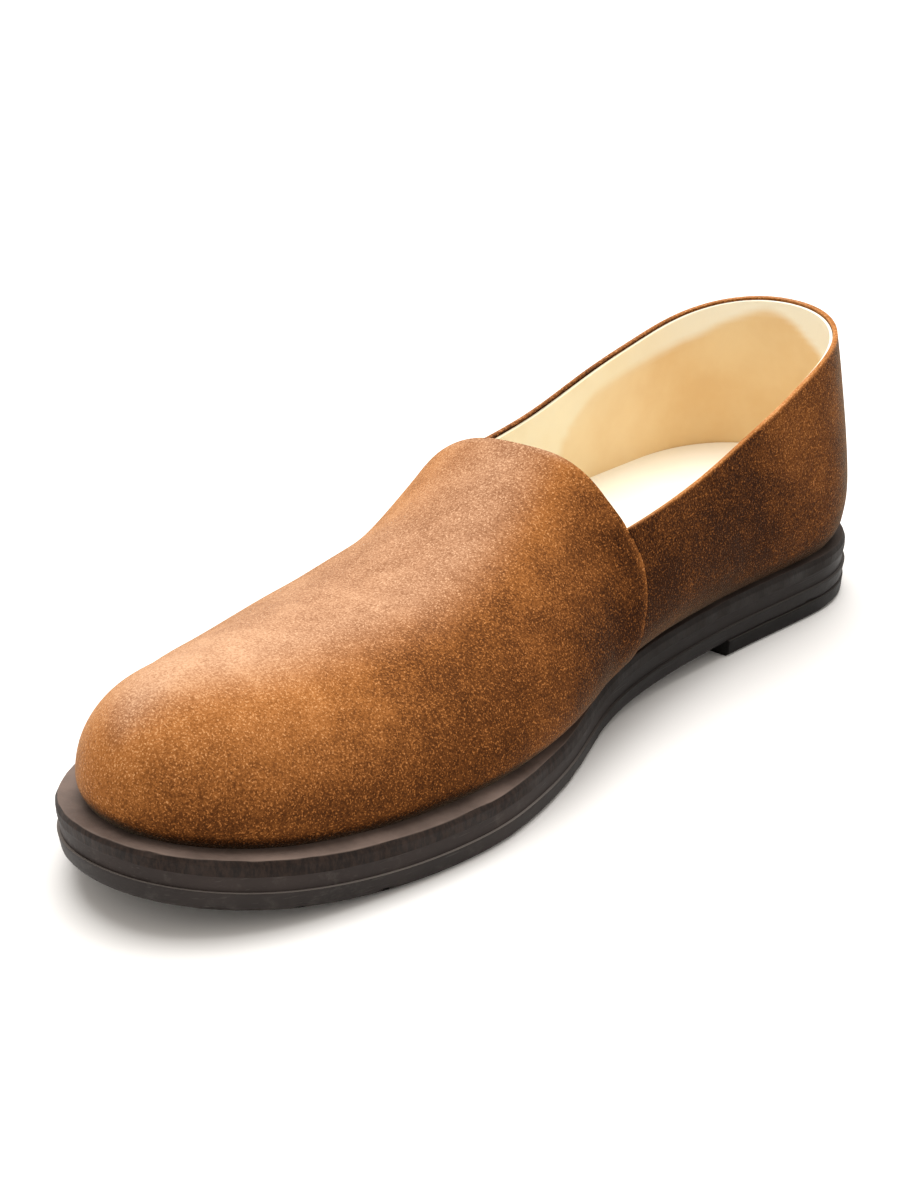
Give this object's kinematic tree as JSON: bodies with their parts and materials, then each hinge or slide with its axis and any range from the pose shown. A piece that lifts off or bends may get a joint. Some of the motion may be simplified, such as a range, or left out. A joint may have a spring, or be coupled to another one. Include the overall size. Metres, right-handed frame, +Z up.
{
  "type": "slip-on shoe",
  "caption": "Low-cut slip-on shoe for the right foot: hollow suede upper with a tongue-shaped throat and side notches, flat welt ledge, layered rubber sole and low heel lift.",
  "frame": {"origin": "on the floor, under the middle of the sole's length and width", "axes": "+X to the medial side, +Y to the heel, so the toe points along -Y, and +Z up; the shoe stands on Z = 0"},
  "size_m": [0.1064, 0.28, 0.08],
  "materials": {
    "upper": "oiled rough suede",
    "insole": "smooth pale lining leather",
    "welt": "dark rough-cut edge, dusty top",
    "midsole": "smooth grey-brown rubber",
    "outsole": "matte black rubber",
    "heel": "matte black rubber"
  },
  "bodies": {
    "root": {"upper": "upper", "insole": "insole", "welt": "welt", "midsole": "midsole", "outsole": "outsole", "heel": "heel"}
  },
  "joints": []
}
